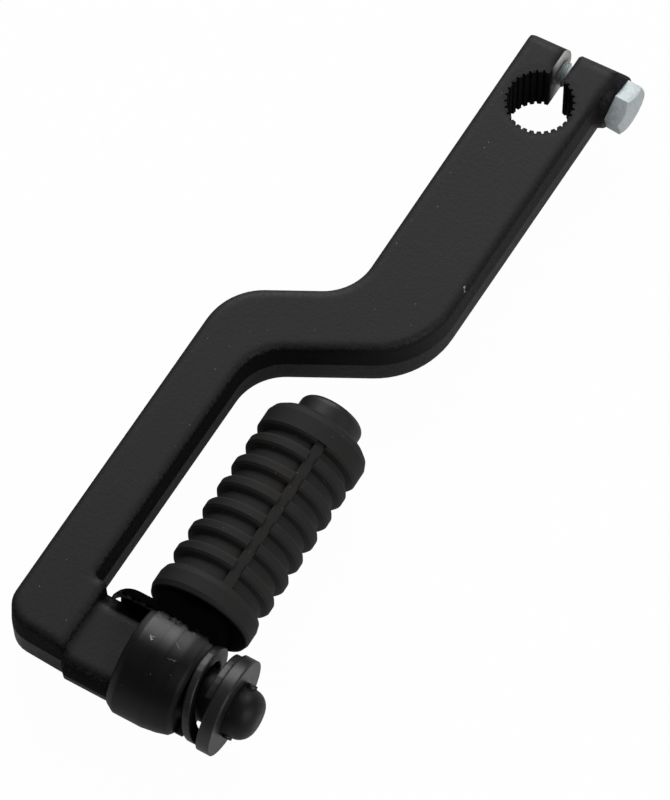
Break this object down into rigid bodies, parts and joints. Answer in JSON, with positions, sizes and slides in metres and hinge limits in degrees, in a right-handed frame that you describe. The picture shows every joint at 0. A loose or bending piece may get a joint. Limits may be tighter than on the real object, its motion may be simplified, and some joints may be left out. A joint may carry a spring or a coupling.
{
  "type": "kick start lever",
  "caption": "Cranked kick start lever with a splined split clamp hub, a pinch bolt and a folding sprung pedal with a ribbed rubber grip.",
  "frame": {"origin": "on the axis of the splined bore, half-way through the thickness of the hub", "axes": "+Z along the bore axis to the outer face, +X along the fold axis to its domed end, +Y from the fold axis to the hub, with the pedal folded up along +Y"},
  "size_m": [0.0607, 0.1913, 0.0264],
  "materials": {
    "arm": "satin",
    "pinch_bolt": "satin",
    "pedal": "satin",
    "rubber_grip": "matte",
    "spring": "satin",
    "washer": "satin",
    "retaining_pin": "satin"
  },
  "bodies": {
    "lever": {"arm": "arm", "pinch_bolt": "pinch_bolt", "spring": "spring", "washer": "washer", "retaining_pin": "retaining_pin"},
    "pedal": {"pedal": "pedal", "rubber_grip": "rubber_grip"}
  },
  "joints": [
    {"name": "pedal_fold", "type": "hinge", "parent": "lever", "child": "pedal", "pos_m": [0, -0.16, 0], "axis": [1, 0, 0], "range_deg": [0, 90]}
  ]
}
